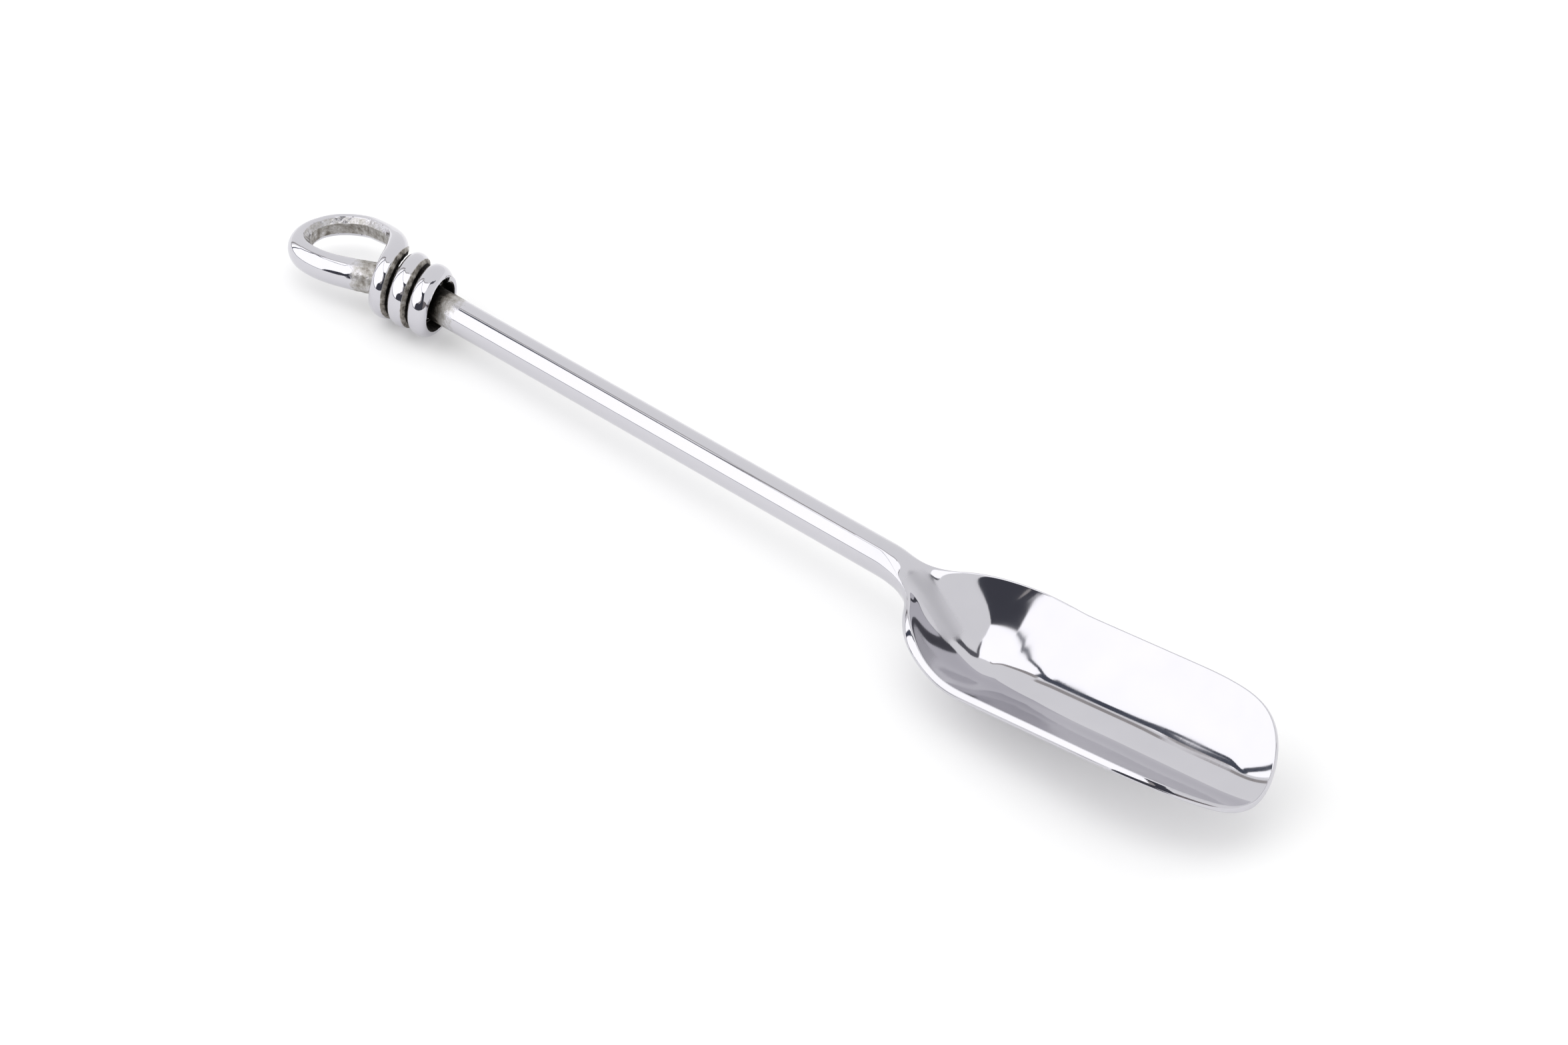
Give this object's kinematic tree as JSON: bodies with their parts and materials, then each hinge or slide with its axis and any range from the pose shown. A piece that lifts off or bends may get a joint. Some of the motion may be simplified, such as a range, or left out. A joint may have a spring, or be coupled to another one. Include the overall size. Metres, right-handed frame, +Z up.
{
  "type": "stilton scoop",
  "caption": "Polished steel cheese scoop: an open round-lipped trough on a straight round bar, with a cast wrapped knot and a hanging eye at the other end.",
  "frame": {"origin": "centre of the overall box on the table that the scoop lies on", "axes": "+X along the handle towards the scoop's lip, +Z up out of the open trough"},
  "size_m": [0.2252, 0.0308, 0.0144],
  "materials": {
    "polished_scoop": "mirror polished stainless steel",
    "dressed_weld": "weld dressed flush and polished",
    "polished_bar": "mirror polished stainless steel with fine drawn lines",
    "raw_weld": "raw weld, unpolished",
    "cast_knot": "polished casting, dark and rough in its grooves and inside the eye"
  },
  "bodies": {
    "root": {"scoop": "polished_scoop", "neck_weld": "dressed_weld", "handle_bar": "polished_bar", "knot_weld": "raw_weld", "knot": "cast_knot"}
  },
  "joints": []
}
